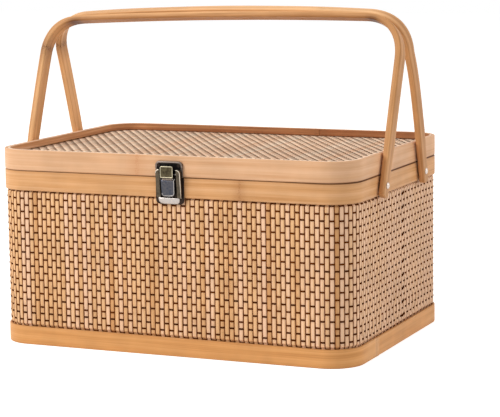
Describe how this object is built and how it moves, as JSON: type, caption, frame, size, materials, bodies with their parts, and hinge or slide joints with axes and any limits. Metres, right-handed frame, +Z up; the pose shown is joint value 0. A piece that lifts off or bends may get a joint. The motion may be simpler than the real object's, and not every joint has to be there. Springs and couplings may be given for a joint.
{
  "type": "lidded woven basket",
  "caption": "Rectangular woven bamboo basket with bent bamboo bands, a hinged recessed lid, a toggle latch and folding U-shaped carrying handles.",
  "frame": {"origin": "centre of the underside, on the floor", "axes": "+Z up, +X to the right seen from the front, the latch's side faces -Y"},
  "size_m": [0.367, 0.2609, 0.3049],
  "materials": {
    "bamboo_band": "satin lacquered bamboo strip",
    "woven_mat": "bamboo splints woven with thin dark strands",
    "base_wood": "matte wood board",
    "handles": "satin bent bamboo strip",
    "rivets": "plain aluminium",
    "hinges": "antique bronze plate",
    "latch": "antique bronze plate, worn bright at the edges"
  },
  "bodies": {
    "basket": {"base_band": "bamboo_band", "base_ledge": "base_wood", "base_board": "base_wood", "base_slat_left": "bamboo_band", "base_slat_middle": "bamboo_band", "base_slat_right": "bamboo_band", "woven_wall": "woven_mat", "body_band_outer": "bamboo_band", "body_band_inner": "bamboo_band", "handle_rivet_front_left": "rivets", "handle_spacer_front_left": "rivets", "rivet_burr_front_left": "rivets", "handle_rivet_back_left": "rivets", "handle_spacer_back_left": "rivets", "rivet_burr_back_left": "rivets", "handle_rivet_front_right": "rivets", "handle_spacer_front_right": "rivets", "rivet_burr_front_right": "rivets", "handle_rivet_back_right": "rivets", "handle_spacer_back_right": "rivets", "rivet_burr_back_right": "rivets", "hinge_left_leaf_body": "hinges", "hinge_left_pin": "hinges", "hinge_left_screw_body_left": "hinges", "hinge_left_screw_body_right": "hinges", "hinge_right_leaf_body": "hinges", "hinge_right_pin": "hinges", "hinge_right_screw_body_left": "hinges", "hinge_right_screw_body_right": "hinges", "latch_body_plate": "latch", "latch_lever_pin": "latch", "latch_screw_body_left": "latch", "latch_screw_body_right": "latch"},
    "lid": {"lid_band_outer": "bamboo_band", "lid_rim_inner": "bamboo_band", "lid_panel_woven": "woven_mat", "lid_band_inner": "bamboo_band", "lid_slat_left": "bamboo_band", "lid_slat_right": "bamboo_band", "hinge_left_leaf_lid": "hinges", "hinge_left_screw_lid_left": "hinges", "hinge_left_screw_lid_right": "hinges", "hinge_right_leaf_lid": "hinges", "hinge_right_screw_lid_left": "hinges", "hinge_right_screw_lid_right": "hinges", "latch_lid_plate": "latch", "latch_screw_lid_left": "latch", "latch_screw_lid_right": "latch"},
    "handle_front": {"handle_front": "handles"},
    "handle_back": {"handle_back": "handles"},
    "latch_lever": {"latch_lever": "latch", "latch_claw_pin": "latch"},
    "latch_claw": {"latch_claw": "latch"}
  },
  "joints": [
    {"name": "handle_front_fold", "type": "hinge", "parent": "basket", "child": "handle_front", "pos_m": [0, -0.053, 0.1518], "axis": [1, 0, 0], "range_deg": [0, 160]},
    {"name": "handle_back_fold", "type": "hinge", "parent": "basket", "child": "handle_back", "pos_m": [0, 0.053, 0.1518], "axis": [-1, 0, 0], "range_deg": [0, 160]},
    {"name": "lid_open", "type": "hinge", "parent": "basket", "child": "lid", "pos_m": [0, 0.1275, 0.16105], "axis": [-1, 0, 0], "range_deg": [0, 30]},
    {"name": "latch_lever_swing", "type": "hinge", "parent": "basket", "child": "latch_lever", "pos_m": [0.0048, -0.128, 0.16395], "axis": [-1, 0, 0], "range_deg": [0, 75]},
    {"name": "latch_claw_tilt", "type": "hinge", "parent": "latch_lever", "child": "latch_claw", "pos_m": [0.0048, -0.1297, 0.15975], "axis": [-1, 0, 0], "range_deg": [-97.5, 0]}
  ],
  "couplings": [
    {"joint": "latch_claw_tilt", "follows": "latch_lever_swing", "ratio": -1.3}
  ]
}
